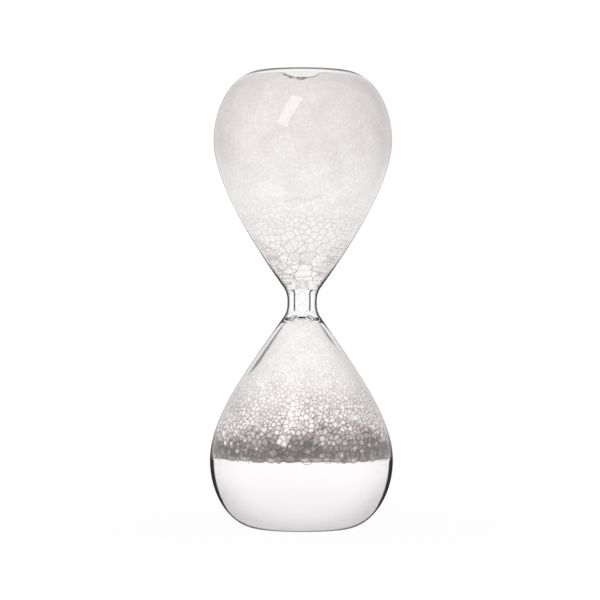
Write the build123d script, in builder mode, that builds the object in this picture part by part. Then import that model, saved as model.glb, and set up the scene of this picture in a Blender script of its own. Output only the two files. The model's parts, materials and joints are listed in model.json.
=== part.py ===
from build123d import *

import os
from itertools import permutations, product
from math import atan, floor, hypot, pi, sqrt, tan

# A bubble timer: a sealed glass hourglass that holds a foaming liquid and air.
# Millimetres, +Z up. The origin is the centre of the foot, in the plane that the timer stands on.
# Both bulbs are drawn from their own end towards the neck, so one section serves them both.

# Blown wall of the bulbs, and the cone that the bulbs and the neck share at their welds
wall = 1.2
weld_r = 8.2
flare_slope = 0.70  # radius lost for each millimetre of height at a weld

# Lower bulb: height from foot to weld, its equator, and how far the belly and the shoulder stay full
lower_h = 66.2
lower_equator_r = 30.0
lower_equator_h = 22.5
lower_belly = 13.0
lower_shoulder = 15.5

# Upper bulb, measured from its top end down to the weld
upper_h = 68.0
upper_equator_r = 29.2
upper_equator_h = 23.0
upper_belly = 11.0
upper_shoulder = 17.2

# Ends: a flat land ring round a dimple, which is shallow in the foot
land_r = 13.5
land_width = 2.5
foot_dimple = 0.8
top_dimple = 2.4

# Neck: a heavy-walled tube with a narrow bore, open at both ends in a funnel
neck_h = 15.8
neck_r = 4.8
neck_fillet = 7.5
bore_r = 1.9
funnel_depth = 4.5
funnel_lip = 3.0
funnel_throat = 2.5

# Filling hole in the upper dimple, and the bead of glass that closes it
fill_hole_r = 5.0
seal_gap = 0.05
seal_crown = 0.6
seal_drop = 1.1

# Contents: liquid at the foot, film between contents and glass, film between bubbles
liquid_h = 23.1
wetting_gap = 0.15
film_gap = 0.12

# Wet bubbles that lie on the liquid, in a ring along the wall
raft_cell = 4.0

# Large dry bubbles in the funnel of the upper bulb
funnel_cell = 6.5
funnel_layers = 2
funnel_start = 1.3  # from the upper weld to the lowest of them

# Bubbles that rise through the bore, one pitch apart, up to the bubbles of the funnel
slug_gap = 0.25
slug_h = 4.2
slug_pitch = 4.6
slug_clearance = 0.4

height = lower_h + neck_h + upper_h
upper_weld_z = lower_h + neck_h
weld_wall = wall * sqrt(1 + flare_slope**2)  # the wall measured level, across the cone
dimple_r = land_r - land_width
top_arc_r = (dimple_r**2 + top_dimple**2) / (4 * top_dimple)
funnel_z = upper_weld_z + funnel_start
slug_z = funnel_z - slug_clearance - 2 * slug_pitch - slug_h  # lowest bubble of the bore at rest

lower_plane = Plane.XZ
upper_plane = Plane(origin=(0, 0, height), x_dir=(1, 0, 0), z_dir=(0, 1, 0))
neck_plane = Plane.XZ.shift_origin((0, 0, lower_h))

lower_sizes = (lower_h, lower_equator_r, lower_equator_h, lower_belly, lower_shoulder, foot_dimple)
upper_sizes = (upper_h, upper_equator_r, upper_equator_h, upper_belly, upper_shoulder, top_dimple)


def bulb_section(plane, sizes, inset):
    """Half section of a bulb, from its axis to a surface that lies `inset` inside the outer one."""
    bulb_h, equator_r, equator_h, belly, shoulder, dimple = sizes
    mouth_r = weld_r - inset * sqrt(1 + flare_slope**2)
    with BuildSketch(plane) as section:
        with BuildLine():
            Line((0, bulb_h), (0, dimple + inset))
            floor_arc = TangentArc(
                (0, dimple + inset), (dimple_r / 2, dimple / 2 + inset), tangent=(1, 0)
            )
            TangentArc(floor_arc @ 1, (dimple_r, inset), tangent=floor_arc % 1)
            Line((dimple_r, inset), (land_r, inset))
            EllipticalCenterArc(
                (land_r, equator_h),
                equator_r - land_r - inset,
                equator_h - inset,
                start_angle=-90,
                arc_size=90,
            )
            Bezier(
                (equator_r - inset, equator_h),
                (equator_r - inset, equator_h + belly),
                (mouth_r + flare_slope * shoulder, bulb_h - shoulder),
                (mouth_r, bulb_h),
            )
            Line((mouth_r, bulb_h), (0, bulb_h))
        make_face()
    return section.sketch


def neck_bore_section(inset):
    """Half section of the neck's bore and its two funnels, from the axis to `inset` inside the glass."""
    mouth_r = weld_r - weld_wall - inset
    throat_r = bore_r - inset
    with BuildSketch(neck_plane) as section:
        with BuildLine():
            Line((0, 0), (mouth_r, 0))
            Bezier(
                (mouth_r, 0),
                (mouth_r - flare_slope * funnel_lip, funnel_lip),
                (throat_r, funnel_depth - funnel_throat),
                (throat_r, funnel_depth),
            )
            Line((throat_r, funnel_depth), (throat_r, neck_h - funnel_depth))
            Bezier(
                (throat_r, neck_h - funnel_depth),
                (throat_r, neck_h - funnel_depth + funnel_throat),
                (mouth_r - flare_slope * funnel_lip, neck_h - funnel_lip),
                (mouth_r, neck_h),
            )
            Line((mouth_r, neck_h), (0, neck_h))
            Line((0, neck_h), (0, 0))
        make_face()
    return section.sketch


def seal_section(growth):
    """Half section of the bead in the filling hole, made larger all round by `growth`."""
    edge_r = fill_hole_r + growth
    edge_h = top_dimple - top_arc_r + sqrt(top_arc_r**2 - fill_hole_r**2)
    crown_h = edge_h - seal_crown - growth
    drop_h = edge_h + wall + seal_drop + growth
    with BuildSketch(upper_plane) as section:
        with BuildLine():
            Line((0, drop_h), (0, crown_h))
            TangentArc((0, crown_h), (edge_r, edge_h), tangent=(1, 0))
            Line((edge_r, edge_h), (edge_r, edge_h + wall))
            TangentArc((0, drop_h), (edge_r, edge_h + wall), tangent=(1, 0))
        make_face()
    return section.sketch


def mirrored_corners(*sizes):
    """All points whose coordinates are the three sizes in any order and with any signs."""
    corners = set()
    for order in permutations(sizes):
        for signs in product((-1, 1), repeat=3):
            corners.add(tuple(sign * size for sign, size in zip(signs, order)))
    return sorted(corners)


def dry_cell(width):
    """Corners of a fourteen-sided cell of drained foam, with its square faces `width` apart."""
    return mirrored_corners(0, width / 4, width / 2)


def wet_cell(width):
    """Corners of a twelve-sided cell of wet foam, with opposite faces `width` apart."""
    unit = width / sqrt(8)
    return mirrored_corners(unit, unit, unit) + mirrored_corners(0, 0, 2 * unit)


# Blown glass
with BuildPart() as lower_bulb:
    revolve(bulb_section(lower_plane, lower_sizes, 0), Axis.Z)
    revolve(bulb_section(lower_plane, lower_sizes, wall), Axis.Z, mode=Mode.SUBTRACT)

with BuildPart() as upper_bulb:
    revolve(bulb_section(upper_plane, upper_sizes, 0), Axis.Z)
    revolve(bulb_section(upper_plane, upper_sizes, wall), Axis.Z, mode=Mode.SUBTRACT)
    with Locations((0, 0, height)):
        Cylinder(fill_hole_r, 2 * (top_dimple + wall), mode=Mode.SUBTRACT)

with BuildPart() as neck_tube:
    flare_h = (weld_r - neck_r) / flare_slope
    fillet_reach = tan(atan(flare_slope) / 2)  # what a fillet takes of each side, for each mm of radius
    widest_fillet = (neck_h / 2 - flare_h) / fillet_reach
    with BuildSketch(neck_plane) as neck_profile:
        with BuildLine():
            FilletPolyline(
                (weld_r, 0),
                (neck_r, flare_h),
                (neck_r, neck_h - flare_h),
                (weld_r, neck_h),
                radius=min(neck_fillet, 0.98 * widest_fillet),
            )
            Polyline((weld_r, neck_h), (0, neck_h), (0, 0), (weld_r, 0))
        make_face()
    revolve(axis=Axis.Z)
    revolve(neck_bore_section(0), Axis.Z, mode=Mode.SUBTRACT)

with BuildPart() as seal_tip:
    revolve(seal_section(-seal_gap), Axis.Z)

# Liquid at the foot
with BuildPart() as liquid:
    revolve(bulb_section(lower_plane, lower_sizes, wall + wetting_gap), Axis.Z)
    split(bisect_by=Plane.XY.offset(liquid_h), keep=Keep.BOTTOM)

# Ring of wet bubbles that stand on the liquid by their lower corners, side by side along the wall
raft_z = liquid_h + film_gap
raft_h = raft_cell * sqrt(2)
with BuildPart() as raft_space:
    revolve(bulb_section(lower_plane, lower_sizes, wall + wetting_gap), Axis.Z)
    split(bisect_by=Plane.XY.offset(raft_z), keep=Keep.TOP)
    split(bisect_by=Plane.XY.offset(raft_z + raft_h), keep=Keep.BOTTOM)
raft_ends = raft_space.faces().filter_by(GeomType.PLANE)
raft_r = min(end.bounding_box().size.X for end in raft_ends) / 2
raft_ring_r = sqrt(raft_r**2 - raft_cell**2 / 4) - raft_cell / 2
raft_count = floor(2 * pi * (raft_ring_r - raft_cell / 2) / raft_cell)
with BuildPart() as bubble_raft:
    with Locations((0, 0, raft_z + raft_h / 2)):
        with PolarLocations(raft_ring_r, raft_count):
            ConvexPolyhedron(wet_cell(raft_cell - film_gap), rotation=(0, 0, 45))

# Fine foam between the raft and the neck, with room for the raft along the wall
with BuildPart() as lower_foam:
    revolve(bulb_section(lower_plane, lower_sizes, wall + wetting_gap), Axis.Z)
    revolve(neck_bore_section(wetting_gap), Axis.Z)
    split(bisect_by=Plane.XY.offset(slug_z - slug_clearance), keep=Keep.BOTTOM)
    split(bisect_by=Plane.XY.offset(raft_z), keep=Keep.TOP)
    with BuildSketch(Plane.XY.offset(raft_z)) as raft_channel:
        Circle(lower_equator_r)
        Circle(raft_ring_r - raft_cell / 2 - film_gap, mode=Mode.SUBTRACT)
    extrude(amount=raft_h + film_gap, mode=Mode.SUBTRACT)

# Large dry cells in the funnel, on a body-centred grid, cut by the wall
funnel_top = funnel_z + (funnel_layers + 1) * funnel_cell / 2
with BuildPart() as funnel_bubbles:
    for layer in range(funnel_layers):
        layer_z = funnel_z + (layer + 1) * funnel_cell / 2
        cone_r = weld_r - weld_wall + flare_slope * (layer_z - upper_weld_z)
        reach = floor(cone_r / funnel_cell) + 1
        steps = [(step + layer % 2 / 2) * funnel_cell for step in range(-reach, reach + 1)]
        centres = [(x, y, layer_z) for x, y in product(steps, repeat=2) if hypot(x, y) < cone_r]
        with Locations(*centres):
            ConvexPolyhedron(dry_cell(funnel_cell - film_gap))
    revolve(
        bulb_section(upper_plane, upper_sizes, wall + wetting_gap), Axis.Z, mode=Mode.INTERSECT
    )

# Fine foam that fills the rest of the upper bulb, hollowed round the bead of the seal
with BuildPart() as upper_foam:
    revolve(bulb_section(upper_plane, upper_sizes, wall + wetting_gap), Axis.Z)
    split(bisect_by=Plane.XY.offset(funnel_top + film_gap), keep=Keep.TOP)
    revolve(seal_section(wetting_gap), Axis.Z, mode=Mode.SUBTRACT)

# Two long bubbles of the rising train, with round ends
slug_r = bore_r - slug_gap


def neck_bubble(bottom):
    """A bubble as long as `slug_h` that fills the bore but for a film of liquid."""
    with BuildPart() as bubble:
        with BuildSketch(Plane.XZ.shift_origin((0, 0, bottom))) as profile:
            with BuildLine():
                CenterArc((0, slug_r), slug_r, -90, 90)
                Line((slug_r, slug_r), (slug_r, slug_h - slug_r))
                CenterArc((0, slug_h - slug_r), slug_r, 0, 90)
                Line((0, slug_h), (0, 0))
            make_face()
        revolve(axis=Axis.Z)
    return bubble


lower_neck_bubble = neck_bubble(slug_z)
upper_neck_bubble = neck_bubble(slug_z + slug_pitch)

pieces = {
    "lower_bulb": lower_bulb,
    "upper_bulb": upper_bulb,
    "neck_tube": neck_tube,
    "seal_tip": seal_tip,
    "liquid": liquid,
    "bubble_raft": bubble_raft,
    "lower_foam": lower_foam,
    "funnel_bubbles": funnel_bubbles,
    "upper_foam": upper_foam,
    "lower_neck_bubble": lower_neck_bubble,
    "upper_neck_bubble": upper_neck_bubble,
}

os.makedirs("parts", exist_ok=True)
for name, piece in pieces.items():
    piece.part.label = name
    export_step(piece.part, f"parts/{name}.step")
    print(name, len(piece.solids()), "solids,", round(piece.part.volume, 1), "cubic millimetres")
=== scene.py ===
# %% [markdown]
# # A bubble timer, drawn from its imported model
# The timer is a sealed hourglass of clear glass. A foaming liquid drains through its narrow neck,
# and the air that it pushes aside rises as bubbles and turns to foam in the upper bulb.
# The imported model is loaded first, and every piece below takes its place from it.

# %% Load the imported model
import json

import bpy
import numpy as np
from mathutils import Euler, Matrix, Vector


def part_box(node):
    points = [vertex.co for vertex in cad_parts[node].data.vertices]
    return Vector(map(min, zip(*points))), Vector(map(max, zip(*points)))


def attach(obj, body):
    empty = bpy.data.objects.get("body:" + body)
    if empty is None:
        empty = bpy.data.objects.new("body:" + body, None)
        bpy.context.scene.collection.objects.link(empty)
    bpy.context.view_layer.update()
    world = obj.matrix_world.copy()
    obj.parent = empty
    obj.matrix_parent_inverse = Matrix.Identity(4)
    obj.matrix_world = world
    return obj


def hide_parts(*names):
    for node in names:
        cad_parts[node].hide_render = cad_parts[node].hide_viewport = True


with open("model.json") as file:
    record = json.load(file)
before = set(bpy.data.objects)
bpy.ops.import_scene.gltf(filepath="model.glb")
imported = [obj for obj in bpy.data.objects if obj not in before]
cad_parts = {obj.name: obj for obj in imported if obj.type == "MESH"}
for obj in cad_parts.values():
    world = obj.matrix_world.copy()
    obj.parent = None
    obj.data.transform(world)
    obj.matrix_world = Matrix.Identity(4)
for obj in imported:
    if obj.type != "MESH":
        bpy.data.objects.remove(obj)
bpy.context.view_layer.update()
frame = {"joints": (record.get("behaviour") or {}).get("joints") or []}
MM = 0.001

# %% [markdown]
# ## Camera
# The photograph looks level at the timer from far away, so the sides hardly converge. A long lens on
# a 36 mm sensor gives that. Its distance, height and side step follow from where the foot, the top
# and the two sides fall in the square picture, and a slight roll from the lean of the axis in it. Light
# has to pass many clear surfaces here, so it may be bent and let through more often than usual.

# %% Camera
LENS = 160.05
SENSOR = 36.0
CLEAR_BOUNCES = 32
CAMERA_AT = (-0.70 * MM, -875.0 * MM, 74.88 * MM)
CAMERA_ROLL = -0.0045

scene = bpy.context.scene
camera = bpy.data.objects.new("camera", bpy.data.cameras.new("camera"))
scene.collection.objects.link(camera)
camera.location = CAMERA_AT
camera.rotation_euler = (np.pi / 2, CAMERA_ROLL, 0)
camera.data.lens = LENS
camera.data.sensor_width = SENSOR
camera.data.clip_start = 0.01
camera.data.clip_end = 50
scene.camera = camera
scene.view_settings.view_transform = "Standard"
scene.cycles.max_bounces = CLEAR_BOUNCES
scene.cycles.transmission_bounces = CLEAR_BOUNCES
scene.cycles.transparent_max_bounces = 2 * CLEAR_BOUNCES
print("Camera", round(-CAMERA_AT[1], 3), "m in front of the axis, lens", LENS, "mm")

# %% [markdown]
# ## Node helpers
# A material here is a short list of nodes and links. One helper makes a node and sets its values,
# and it links an input whose value is another node's socket, so a whole tree reads from top to bottom.

# %% Node helpers
def node(tree, kind, inputs=None, **settings):
    """Adds a node; inputs are values or sockets by input name or number, settings are its properties."""
    made = tree.nodes.new(kind)
    for key, value in settings.items():
        setattr(made, key, value)
    for key, value in (inputs or {}).items():
        socket = made.inputs[key]
        if isinstance(value, bpy.types.NodeSocket):
            tree.links.new(value, socket)
        else:
            socket.default_value = value
    return made


def new_material(name):
    """An empty node material, and its tree with nothing but the output node."""
    material = bpy.data.materials.new(name)
    material.use_nodes = True
    material.node_tree.nodes.clear()
    output = material.node_tree.nodes.new("ShaderNodeOutputMaterial")
    return material, material.node_tree, output


def maths(tree, operation, *values, clamp=False):
    """One Math node; its answer is the socket that comes back."""
    made = node(tree, "ShaderNodeMath", dict(enumerate(values)), operation=operation, use_clamp=clamp)
    return made.outputs[0]


def attribute(tree, name):
    """A number that the mesh carries at each vertex."""
    return node(tree, "ShaderNodeAttribute", attribute_name=name).outputs["Fac"]


def ramp(tree, value, start, end, low=0.0, high=1.0):
    """A smooth step of `value` from low to high while it goes from start to end."""
    made = node(
        tree,
        "ShaderNodeMapRange",
        {"Value": value, "From Min": start, "From Max": end, "To Min": low, "To Max": high},
        interpolation_type="SMOOTHSTEP",
    )
    return made.outputs["Result"]


# %% [markdown]
# ## Light and floor
# Such a timer is photographed before a white sweep, with one tall softbox on the left. The sky is white
# wherever the camera, a reflection or the glass looks at it, and dimmer where it only lights things, so
# that pale foam keeps its own colour. The floor is pale too and turns into the white of the sky as it
# goes away from the foot, which leaves the soft shadow and hides the horizon.

# %% Sky
SKY_LIGHT = 0.92

world = bpy.data.worlds.new("white sweep")
scene.world = world
world.use_nodes = True
sky = world.node_tree
sky.nodes.clear()
path = node(sky, "ShaderNodeLightPath")
seen = maths(sky, "MAXIMUM", path.outputs["Is Camera Ray"], path.outputs["Is Glossy Ray"])
seen = maths(sky, "MAXIMUM", seen, path.outputs["Is Transmission Ray"])
strength = maths(sky, "ADD", SKY_LIGHT, maths(sky, "MULTIPLY", seen, 1 - SKY_LIGHT))
background = node(sky, "ShaderNodeBackground", {"Color": (1, 1, 1, 1), "Strength": strength})
node(sky, "ShaderNodeOutputWorld", {"Surface": background.outputs[0]})
print("Sky lights with", SKY_LIGHT, "and shows as 1")

# %% Softbox
SOFTBOX_SIZE = (0.19, 0.55)
SOFTBOX_AWAY = 0.80
SOFTBOX_LOOKS_AT = 75 * MM
SOFTBOX_TURN = np.radians(-20)
SOFTBOX_RISE = np.radians(36)
SOFTBOX_ROLL = np.radians(-20)
SOFTBOX_BRIGHTNESS = 3.2

softbox = bpy.data.objects.new("softbox", bpy.data.lights.new("softbox", "AREA"))
scene.collection.objects.link(softbox)
softbox.data.shape = "RECTANGLE"
softbox.data.size = SOFTBOX_SIZE[0]
softbox.data.size_y = SOFTBOX_SIZE[1]
softbox.data.energy = SOFTBOX_BRIGHTNESS * np.pi * SOFTBOX_SIZE[0] * SOFTBOX_SIZE[1]
softbox.location = (
    SOFTBOX_AWAY * np.cos(SOFTBOX_RISE) * np.sin(SOFTBOX_TURN),
    -SOFTBOX_AWAY * np.cos(SOFTBOX_RISE) * np.cos(SOFTBOX_TURN),
    SOFTBOX_AWAY * np.sin(SOFTBOX_RISE) + SOFTBOX_LOOKS_AT,
)
facing = Euler((np.pi / 2 - SOFTBOX_RISE, 0, SOFTBOX_TURN)).to_matrix()
softbox.rotation_euler = (facing @ Matrix.Rotation(SOFTBOX_ROLL, 3, "Z")).to_euler()
print("Softbox of", round(softbox.data.energy, 2), "W at", [round(c, 3) for c in softbox.location])

# %% Floor
FLOOR_SIZE = 6.0
FLOOR_NEAR = 0.03
FLOOR_CLEAR = 0.22
FLOOR_WHITE = 0.88

floor_mesh = bpy.data.meshes.new("floor")
corners = [(-1, -1, 0), (1, -1, 0), (1, 1, 0), (-1, 1, 0)]
floor_mesh.from_pydata([tuple(c * FLOOR_SIZE / 2 for c in p) for p in corners], [], [(0, 1, 2, 3)])
floor = bpy.data.objects.new("floor", floor_mesh)
scene.collection.objects.link(floor)

floor_white, tree, output = new_material("floor white")
place = node(tree, "ShaderNodeTexCoord")
away = node(tree, "ShaderNodeVectorMath", {0: place.outputs["Object"]}, operation="LENGTH")
fade = ramp(tree, away.outputs["Value"], FLOOR_NEAR, FLOOR_CLEAR, FLOOR_WHITE, 1.0)
paper = node(tree, "ShaderNodeBsdfDiffuse", {"Color": (0.90, 0.90, 0.90, 1)})
glow = node(tree, "ShaderNodeEmission", {"Color": (1, 1, 1, 1), "Strength": 1.0})
mixed = node(tree, "ShaderNodeMixShader", {0: fade, 1: paper.outputs[0], 2: glow.outputs[0]})
tree.links.new(mixed.outputs[0], output.inputs["Surface"])
floor_mesh.materials.append(floor_white)
print("Floor", FLOOR_SIZE, "m wide, white from", FLOOR_CLEAR, "m out")

# %% [markdown]
# ## Surfaces of revolution
# A glassblower turns the tube all the time, so every wall of the timer is a profile carried round the
# axis. The helper lays the profile's points along one side of a grid and the angle along the other. A
# profile that starts and ends on the axis gets one vertex at each pole, so the surface is closed.

# %% Revolve a profile
def add_piece(name, points, faces, material, body, replaced):
    """Puts a finished mesh into the scene, on its body and in the place of the nodes it stands for."""
    mesh = bpy.data.meshes.new(name)
    mesh.from_pydata(points * MM, [], faces)
    mesh.polygons.foreach_set("use_smooth", np.ones(len(mesh.polygons), bool))
    mesh.materials.append(material)
    piece = bpy.data.objects.new(name, mesh)
    scene.collection.objects.link(piece)
    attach(piece, body)
    if replaced:
        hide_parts(*replaced)
    mesh.calc_loop_triangles()
    print(name, "has", len(mesh.loop_triangles), "triangles")
    return piece


def give(piece, name, values):
    """Stores one number for each vertex of a piece, for its material to read."""
    layer = piece.data.attributes.new(name, "FLOAT", "POINT")
    layer.data.foreach_set("value", np.asarray(values, np.float32).ravel())


def grid_faces(rows, columns, first=0):
    """Quads of a grid whose columns close into a ring, counted from vertex `first`."""
    row, column = np.meshgrid(np.arange(rows - 1), np.arange(columns), indexing="ij")
    after = (column + 1) % columns
    corner = [row * columns + column, row * columns + after]
    corner += [(row + 1) * columns + after, (row + 1) * columns + column]
    return np.stack(corner, -1).reshape(-1, 4) + first


def angles(columns):
    """Equal steps round the axis."""
    return np.arange(columns) * 2 * np.pi / columns


def turned(point, angle):
    """Carries points (r, z) to an angle a round the axis: (r cos a, r sin a, z)."""
    r, z = point[..., 0], point[..., 1]
    return np.stack([r * np.cos(angle), r * np.sin(angle), z + 0 * angle], -1)


def revolved(profile, columns):
    """A profile of points (r, z) carried to every angle, with one vertex at each pole.

    The profile starts and ends on the axis. Where it climbs, the faces look away from the axis.
    """
    ring = turned(profile[1:-1, None], angles(columns))
    poles = [[0, 0, profile[0, 1]], [0, 0, profile[-1, 1]]]
    points = np.concatenate([ring.reshape(-1, 3), poles])
    return points, capped_faces(len(ring), columns)


def capped_faces(rows, columns):
    """Faces of a ringed grid that is closed by a first pole and a last pole after its own vertices."""
    here = np.arange(columns)
    after = (here + 1) % columns
    first = rows * columns
    last_row = (rows - 1) * columns
    bottom = np.stack([after, here, np.full(columns, first)], -1)
    top = np.stack([last_row + here, last_row + after, np.full(columns, first + 1)], -1)
    return grid_faces(rows, columns).tolist() + bottom.tolist() + top.tolist()


def flipped(faces):
    """The same faces looking the other way."""
    return [face[::-1] for face in faces]


print("A 3 by 4 ring has", len(grid_faces(3, 4)), "faces, and", len(capped_faces(3, 4)), "when closed")

# %% [markdown]
# ## Profile of the glass
# Each bulb is drawn from its own end: a dimple, the flat land that it stands on, a quarter of an ellipse
# up to the widest place, and one Bezier curve that runs into the cone at the weld. The neck is a waist
# with round shoulders outside and a narrow bore with two funnels inside. Glass is fused where the pieces
# meet, so the profile runs over both welds without a seam.

# %% Sizes of the glass
lower_box = np.array(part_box("lower_bulb")) / MM
upper_box = np.array(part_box("upper_bulb")) / MM
neck_box = np.array(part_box("neck_tube")) / MM
TOP = upper_box[1, 2]
LOWER_WELD = neck_box[0, 2]
UPPER_WELD = neck_box[1, 2]
WELD_R = neck_box[1, 0]
WALL = 1.2
FLARE = 0.70
LAND_R = 13.5
DIMPLE_R = 11.0
DIMPLE_POINTS = 23
LOWER = {"height": LOWER_WELD, "equator_r": lower_box[1, 0], "equator_h": 22.5}
LOWER.update({"belly": 13.0, "shoulder": 15.5, "dimple": 0.8})
UPPER = {"height": TOP - UPPER_WELD, "equator_r": upper_box[1, 0], "equator_h": 23.0}
UPPER.update({"belly": 11.0, "shoulder": 17.2, "dimple": 2.4})
print("Glass from 0 to", round(TOP, 2), "mm, welds at", round(LOWER_WELD, 2), "and", round(UPPER_WELD, 2))


# %% Profile of one bulb
def bezier(start, start_pull, end_pull, end, count):
    """Cubic Bezier curve: the four points weighed by (1-t)^3, 3t(1-t)^2, 3t^2(1-t) and t^3."""
    t = np.linspace(0, 1, count)[:, None]
    pulls = 3 * t * (1 - t) ** 2 * np.array(start_pull) + 3 * t**2 * (1 - t) * np.array(end_pull)
    return (1 - t) ** 3 * np.array(start) + pulls + t**3 * np.array(end)


def bulb_profile(bulb, inset):
    """Radius and distance from the bulb's end, from the axis to the weld, `inset` inside the glass.

    Two equal arcs make the dimple, then come the land, a quarter ellipse and a Bezier curve.
    """
    arc_r = (DIMPLE_R**2 + bulb["dimple"] ** 2) / (4 * bulb["dimple"])
    r = np.linspace(0, DIMPLE_R, DIMPLE_POINTS)
    middle = bulb["dimple"] - arc_r + np.sqrt(arc_r**2 - r**2)
    edge = arc_r - np.sqrt(arc_r**2 - (DIMPLE_R - r) ** 2)
    dimple = np.stack([r, inset + np.where(r < DIMPLE_R / 2, middle, edge)], -1)
    turn = np.linspace(-np.pi / 2, 0, 36)
    wide, tall = bulb["equator_r"] - LAND_R - inset, bulb["equator_h"] - inset
    side = np.stack([LAND_R + wide * np.cos(turn), bulb["equator_h"] + tall * np.sin(turn)], -1)
    mouth = WELD_R - inset * np.hypot(1, FLARE)
    belly = (side[-1, 0], bulb["equator_h"] + bulb["belly"])
    shoulder = (mouth + FLARE * bulb["shoulder"], bulb["height"] - bulb["shoulder"])
    upward = bezier(side[-1], belly, shoulder, (mouth, bulb["height"]), 60)
    return np.concatenate([dimple, side, upward[1:]])


print("Profile of the lower bulb has", len(bulb_profile(LOWER, 0)), "points")

# %% Seal of the filling hole
SEAL_R = 5.0
SEAL_CROWN = 0.6
SEAL_DROP = 1.1


def with_seal(profile, rise):
    """Lifts the middle of an end by an arc `rise` high, out to the edge of the filling hole."""
    arc_r = (SEAL_R**2 + rise**2) / (2 * abs(rise))
    r, v = profile.T.copy()
    edge = np.interp(SEAL_R, r[:DIMPLE_POINTS], v[:DIMPLE_POINTS])
    arc = np.sqrt(arc_r**2 - np.minimum(r, SEAL_R) ** 2) - (arc_r - abs(rise))
    return np.stack([r, np.where(r < SEAL_R, edge + np.sign(rise) * arc, v)], -1)


print("Seal is", 2 * SEAL_R, "mm across and", round(SEAL_CROWN + WALL + SEAL_DROP, 2), "mm thick")

# %% Whole profile, outside and inside
NECK_R = 4.8
NECK_FILLET = 7.5
BORE_R = 1.9
FUNNEL_DEPTH = 4.5
FUNNEL_LIP = 3.0
FUNNEL_THROAT = 2.5


def neck_waist(count):
    """Outside of the neck by height: a cone, an arc that meets it and the tube smoothly, and the tube."""
    half = (UPPER_WELD - LOWER_WELD) / 2
    corner = (WELD_R - NECK_R) / FLARE
    reach = NECK_FILLET * np.tan(np.arctan(FLARE) / 2)
    h = np.linspace(-half, half, count)
    up = half - np.abs(h)
    drop = np.clip(corner + reach - up, 0, NECK_FILLET)
    arc = NECK_R + NECK_FILLET - np.sqrt(NECK_FILLET**2 - drop**2)
    cone = WELD_R - FLARE * up
    r = np.where(up < corner - reach * np.cos(np.arctan(FLARE)), cone, arc)
    return np.stack([r, LOWER_WELD + half + h], -1)


def neck_bore(mouth):
    """Inside of the neck: a funnel, the straight bore and the same funnel turned over."""
    lip = (mouth - FLARE * FUNNEL_LIP, FUNNEL_LIP)
    throat = (BORE_R, FUNNEL_DEPTH - FUNNEL_THROAT)
    funnel = bezier((mouth, 0), lip, throat, (BORE_R, FUNNEL_DEPTH), 24)
    below = funnel + [0, LOWER_WELD]
    above = (funnel * [1, -1] + [0, UPPER_WELD])[::-1]
    straight = np.linspace(below[-1], above[0], 12)[1:-1]
    return np.concatenate([below, straight, above])


def joined(lower, neck, upper):
    """One profile from the foot to the top; the upper bulb is measured down from the top."""
    return np.concatenate([lower, neck[1:-1], (upper * [1, -1] + [0, TOP])[::-1]])


outside = joined(
    bulb_profile(LOWER, 0), neck_waist(56), with_seal(bulb_profile(UPPER, 0), -SEAL_CROWN)
)
inner_lower = bulb_profile(LOWER, WALL)
inside = joined(
    inner_lower, neck_bore(inner_lower[-1, 0]), with_seal(bulb_profile(UPPER, WALL), SEAL_DROP)
)
print("Profile points outside and inside:", len(outside), len(inside))

# %% [markdown]
# ## Where the wall is
# Liquid and foam cling to the inner wall, so both are placed along the wall's own profile. Lengths along
# the profile are added up once. A length then gives a radius, a height and the direction into the bulb.

# %% Places on the inner wall
wall_length = np.concatenate([[0], np.cumsum(np.hypot(*np.diff(inside, axis=0).T))])
wall_slope = np.gradient(inside, wall_length, axis=0)
wall_slope /= np.linalg.norm(wall_slope, axis=1, keepdims=True)


def length_at(z):
    """Length along the inner wall up to a height, between the two lands."""
    sides = slice(DIMPLE_POINTS - 1, 1 - DIMPLE_POINTS)
    return np.interp(z, inside[sides, 1], wall_length[sides])


def wall_at(length):
    """Points (r, z) of the inner wall at these lengths, and the unit vectors from them into the bulb."""
    point = np.stack([np.interp(length, wall_length, inside[:, k]) for k in (0, 1)], -1)
    slope = np.stack([np.interp(length, wall_length, wall_slope[:, k]) for k in (0, 1)], -1)
    return point, np.stack([-slope[..., 1], slope[..., 0]], -1)


def off_wall(length, away):
    """Points (r, z) that lie `away` inside the inner wall at these lengths."""
    point, inward = wall_at(length)
    return point + inward * np.asarray(away)[..., None]


def by_height(z, *pairs):
    """A value by height: straight lines between pairs of a height and a value."""
    heights, values = zip(*pairs)
    return np.interp(z, heights, values)


print("Inner wall is", round(wall_length[-1], 1), "mm long from pole to pole")

# %% [markdown]
# ## Clear glass
# Lampworked glass is clear, so it is seen by what it bends and reflects. Where the eye looks along the
# wall, the light has come a long way through the glass and from the dark sides of the room, and a grey
# or black line is left there, with a soft shade inside it. Here both are painted shade: the material mixes
# a nearly black shader in by the angle of view, so they follow the outline from every side. Numbers on the
# mesh say where the painted line starts and ends and how dark it is: wide and dark along the liquid and in
# the neck, thin along the foam. Where the foam has let go of the glass, the inner wall has a painted line
# of its own, just before the angle at which it turns into a mirror. A painted grey veil of shade lies over
# the foot, where the table would show. Only the first two surfaces that the eye meets show lines. Light
# that only passes through to the foam goes straight on.

# %% Glass material
GLASS_IOR = 1.47
LINE_FADE = 0.01
SOFT_FROM, SOFT_TO = 0.15, 0.75
FIRST_TWO = 1.5


def let_light_in(tree, output, shader):
    """Rays that only carry light to what lies behind pass the surface without being bent."""
    path = node(tree, "ShaderNodeLightPath")
    lit = maths(tree, "MAXIMUM", path.outputs["Is Shadow Ray"], path.outputs["Is Diffuse Ray"])
    clear = node(tree, "ShaderNodeBsdfTransparent", {"Color": (1, 1, 1, 1)})
    mixed = node(tree, "ShaderNodeMixShader", {0: lit, 1: shader, 2: clear.outputs[0]})
    tree.links.new(mixed.outputs[0], output.inputs["Surface"])


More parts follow.
